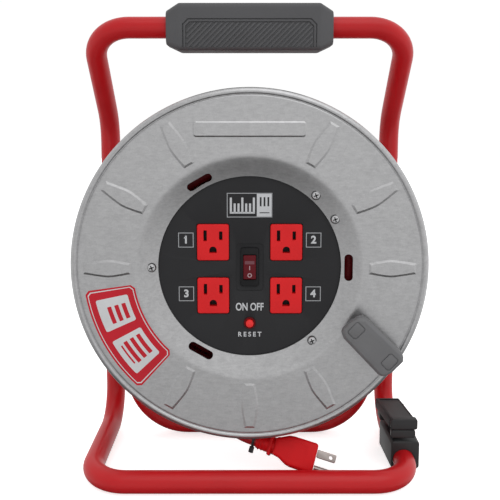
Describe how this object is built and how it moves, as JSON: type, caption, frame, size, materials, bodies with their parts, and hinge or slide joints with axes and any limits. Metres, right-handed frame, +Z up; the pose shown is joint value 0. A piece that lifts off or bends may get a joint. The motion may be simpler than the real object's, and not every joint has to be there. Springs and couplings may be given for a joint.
{
  "type": "extension cord reel",
  "caption": "Extension cord reel: a steel drum with outlets, a switch and a folding crank, turning on an axle in a bent tube stand with a handle.",
  "frame": {"origin": "on the floor, under the middle of the reel's box without its loose cord end", "axes": "+Z up; -Y to the side with the outlets; +X to the right as seen from that side"},
  "size_m": [0.294, 0.1534, 0.3969],
  "materials": {
    "red_paint": "gloss enamel",
    "galvanised": "spangled zinc coating",
    "zinc": "bright zinc plate",
    "black_plastic": "satin",
    "red_plastic": "satin",
    "grey_plastic": "fine texture",
    "grey_rubber": "matt",
    "cord_jacket": "satin cord jacket",
    "brass": "plain",
    "nylon": "natural"
  },
  "bodies": {
    "stand": {"frame_left": "red_paint", "frame_right": "red_paint", "handle_joint_spigot": "zinc", "foot_joint_spigot": "zinc", "handle_grip": "grey_rubber", "rear_foot": "red_paint", "axle_cross_plate": "red_paint", "plate_bolt_1": "zinc", "plate_bolt_2": "zinc", "plate_bolt_3": "zinc", "plate_bolt_4": "zinc", "plate_nut_1": "zinc", "plate_nut_2": "zinc", "plate_nut_3": "zinc", "plate_nut_4": "zinc", "foot_bolt_left": "zinc", "foot_bolt_right": "zinc", "axle": "zinc", "axle_nut": "zinc", "axle_washer": "zinc", "axle_circlip": "zinc", "cord_guide_base": "black_plastic", "cord_guide_pin": "zinc", "cord_tail": "cord_jacket", "cord_tie": "black_plastic", "plug_body": "red_plastic", "plug_blade_front": "zinc", "plug_blade_rear": "zinc", "plug_earth_pin": "zinc"},
    "drum": {"front_flange": "galvanised", "rear_flange": "galvanised", "barrel": "galvanised", "hub_plate": "galvanised", "front_bush": "nylon", "rear_bush": "nylon", "flange_screw_1": "zinc", "flange_screw_2": "zinc", "flange_screw_3": "zinc", "flange_screw_4": "zinc", "cord_core": "cord_jacket", "cord_outer_layer": "cord_jacket", "socket_panel": "black_plastic", "outlet_1": "red_plastic", "outlet_2": "red_plastic", "outlet_3": "red_plastic", "outlet_4": "red_plastic", "back_cover": "black_plastic", "switch_housing": "black_plastic", "breaker_body": "black_plastic", "reset_collar": "black_plastic", "neutral_bus_bar": "brass", "earth_bus_bar": "brass", "live_bus_bar": "brass", "cord_gland": "black_plastic", "crank_base": "grey_plastic", "crank_pin": "zinc"},
    "rocker": {"switch_rocker": "red_plastic"},
    "reset": {"reset_button": "red_plastic"},
    "crank": {"crank_knob": "grey_plastic"},
    "guide_jaw": {"cord_guide_jaw": "black_plastic"}
  },
  "joints": [
    {"name": "drum_spin", "type": "hinge", "parent": "stand", "child": "drum", "pos_m": [0, 0.02835, 0.183], "axis": [0, 1, 0], "continuous": true},
    {"name": "rocker_tilt", "type": "hinge", "parent": "drum", "child": "rocker", "pos_m": [0, -0.04455, 0.1826], "axis": [1, 0, 0], "range_deg": [0, 10]},
    {"name": "reset_press", "type": "slide", "parent": "drum", "child": "reset", "axis": [0, 1, 0], "range_m": [0, 0.0015], "stiffness_N_per_m": 600, "springref_m": -0.0015},
    {"name": "crank_fold", "type": "hinge", "parent": "drum", "child": "crank", "pos_m": [0.1121, -0.06465, 0.1092], "axis": [0.6972, 0, 0.7169], "range_deg": [0, 90]},
    {"name": "guide_jaw_open", "type": "hinge", "parent": "stand", "child": "guide_jaw", "pos_m": [0.13325, 0.00735, 0.037], "axis": [-1, 0, 0], "range_deg": [0, 40]}
  ]
}
